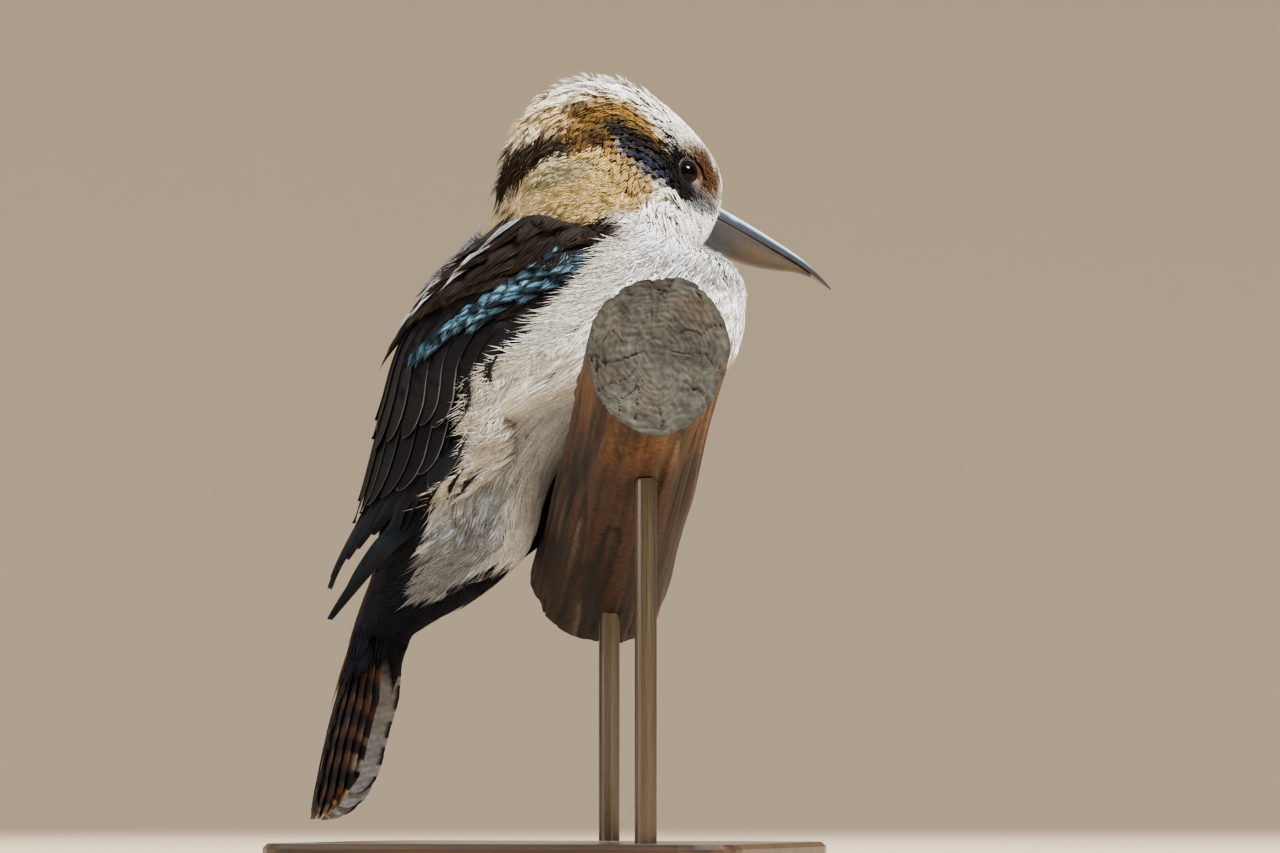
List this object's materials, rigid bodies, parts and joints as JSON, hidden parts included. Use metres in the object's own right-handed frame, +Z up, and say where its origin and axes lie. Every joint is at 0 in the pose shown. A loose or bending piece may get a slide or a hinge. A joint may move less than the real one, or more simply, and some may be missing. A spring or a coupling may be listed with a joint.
{
  "type": "laughing kookaburra model",
  "caption": "Life-size still model of a laughing kookaburra perched across a short cut log, head turned to its left, held by a flat base and two rods.",
  "frame": {"origin": "centre of the underside of the stand's base, on the surface that it rests on", "axes": "+Z up, +X the way the bird's body faces, +Y to the bird's left"},
  "size_m": [0.2228, 0.214, 0.3395],
  "materials": {
    "head_plumage": "soft matte feathers",
    "neck_plumage": "soft matte feathers",
    "breast_plumage": "soft matte feathers",
    "tail_feathers": "barred feathers with a faint sheen",
    "wing_feathers": "dark feathers with a faint blue sheen",
    "foot_skin": "scaled, matte",
    "claw": "satin horn",
    "eye": "wet gloss",
    "bill_dark": "satin horn",
    "bill_horn": "satin horn",
    "log_wood": "weathered, without bark",
    "stand_wood": "dark satin varnish",
    "stand_rod": "brushed"
  },
  "bodies": {
    "root": {"head": "head_plumage", "neck": "neck_plumage", "torso": "breast_plumage", "tail": "tail_feathers", "wing_left": "wing_feathers", "wing_right": "wing_feathers", "leg_left": "foot_skin", "leg_right": "foot_skin", "foot_left": "foot_skin", "foot_right": "foot_skin", "claw_inner_left": "claw", "claw_middle_left": "claw", "claw_outer_left": "claw", "claw_hind_left": "claw", "claw_inner_right": "claw", "claw_middle_right": "claw", "claw_outer_right": "claw", "claw_hind_right": "claw", "eye_left": "eye", "eye_right": "eye", "bill_upper": "bill_dark", "bill_lower": "bill_horn", "perch_log": "log_wood", "stand_base": "stand_wood", "stand_rod_1": "stand_rod", "stand_rod_2": "stand_rod"}
  },
  "joints": []
}
